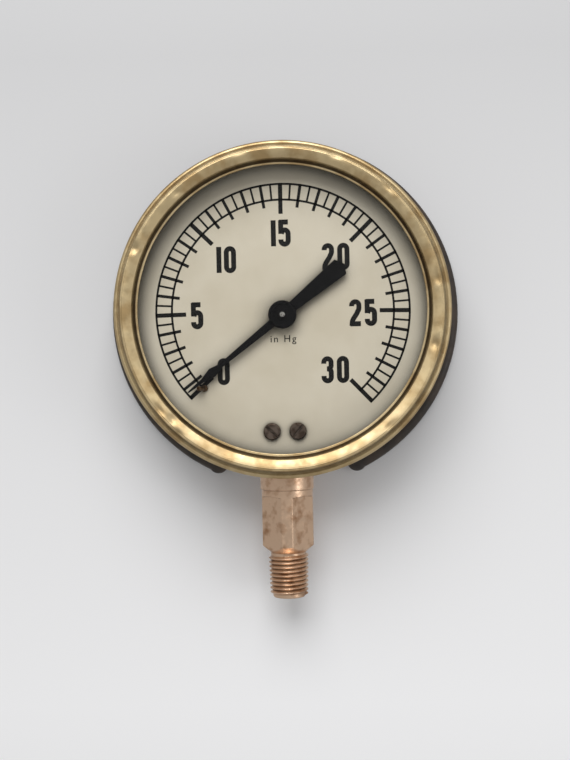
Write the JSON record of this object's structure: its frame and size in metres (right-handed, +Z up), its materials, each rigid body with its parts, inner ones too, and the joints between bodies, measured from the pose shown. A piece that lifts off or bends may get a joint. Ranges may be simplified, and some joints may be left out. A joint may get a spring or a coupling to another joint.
{
  "type": "pressure gauge",
  "caption": "Round bottom-connection vacuum gauge: flanged case, spun bezel, glass, numbered dial and pointer, Bourdon tube movement and square-shanked stem with tapered pipe thread.",
  "frame": {"origin": "centre of the lower end of the threaded stem", "axes": "+Z up along the stem, +Y from the dial towards the back of the case, +X to the reader's right"},
  "size_m": [0.118, 0.0337, 0.1535],
  "materials": {
    "japanned_iron": "black japanned, dull and worn",
    "spun_brass": "satin, tarnished and dented",
    "window_glass": "flat clear glass",
    "gasket_rubber": "matte black",
    "dial_enamel": "aged silver-beige lacquer",
    "screw_steel": "dull, slotted",
    "pin_brass": "tarnished",
    "pointer_black": "flat black",
    "arbor_steel": "turned",
    "movement_brass": "machined",
    "spring_bronze": "polished strip",
    "socket_bronze": "dull bronze, oxidised"
  },
  "bodies": {
    "gauge_body": {"case": "japanned_iron", "bezel_ring": "spun_brass", "window_glass": "window_glass", "window_gasket": "gasket_rubber", "dial": "dial_enamel", "dial_screws": "screw_steel", "stop_pin": "pin_brass", "movement_back_plate": "movement_brass", "movement_front_plate": "movement_brass", "movement_pillars": "movement_brass", "plate_screws": "screw_steel", "movement_screws": "screw_steel", "hairspring": "spring_bronze", "hairspring_stud": "movement_brass", "bourdon_tube": "spring_bronze", "socket": "socket_bronze", "socket_screws": "screw_steel"},
    "sector": {"sector_gear": "movement_brass", "sector_arbor": "arbor_steel", "sector_link_pin": "arbor_steel"},
    "pointer": {"pointer": "pointer_black", "pointer_hub": "pointer_black", "pinion_arbor": "arbor_steel", "hairspring_collet": "movement_brass"},
    "link": {"link": "movement_brass"},
    "tube_tip": {"tube_tip": "movement_brass", "tip_link_pin": "arbor_steel"}
  },
  "joints": [
    {"name": "sector_swing", "type": "hinge", "parent": "gauge_body", "child": "sector", "pos_m": [-0.01708, -0.0005, 0.07602], "axis": [0, -1, 0], "range_deg": [0, 25.14], "stiffness_Nm_per_rad": 0.2},
    {"name": "pointer_spin", "type": "hinge", "parent": "gauge_body", "child": "pointer", "pos_m": [0, -0.011, 0.0931], "axis": [0, 1, 0], "range_deg": [0, 264], "deforming": ["hairspring"]},
    {"name": "link_swing", "type": "hinge", "parent": "sector", "child": "link", "pos_m": [-0.0248, -0.0017, 0.07809], "axis": [0, -1, 0], "range_deg": [-31, 0]},
    {"name": "tube_tip_swing", "type": "hinge", "parent": "gauge_body", "child": "tube_tip", "pos_m": [0.00641, 0, 0.10278], "axis": [0, -1, 0], "range_deg": [0, 5.6], "deforming": ["bourdon_tube"]}
  ],
  "couplings": [
    {"joint": "pointer_spin", "follows": "sector_swing", "ratio": 10.5},
    {"joint": "link_swing", "follows": "sector_swing", "ratio": -1.2042},
    {"joint": "tube_tip_swing", "follows": "sector_swing", "ratio": 0.21632}
  ]
}
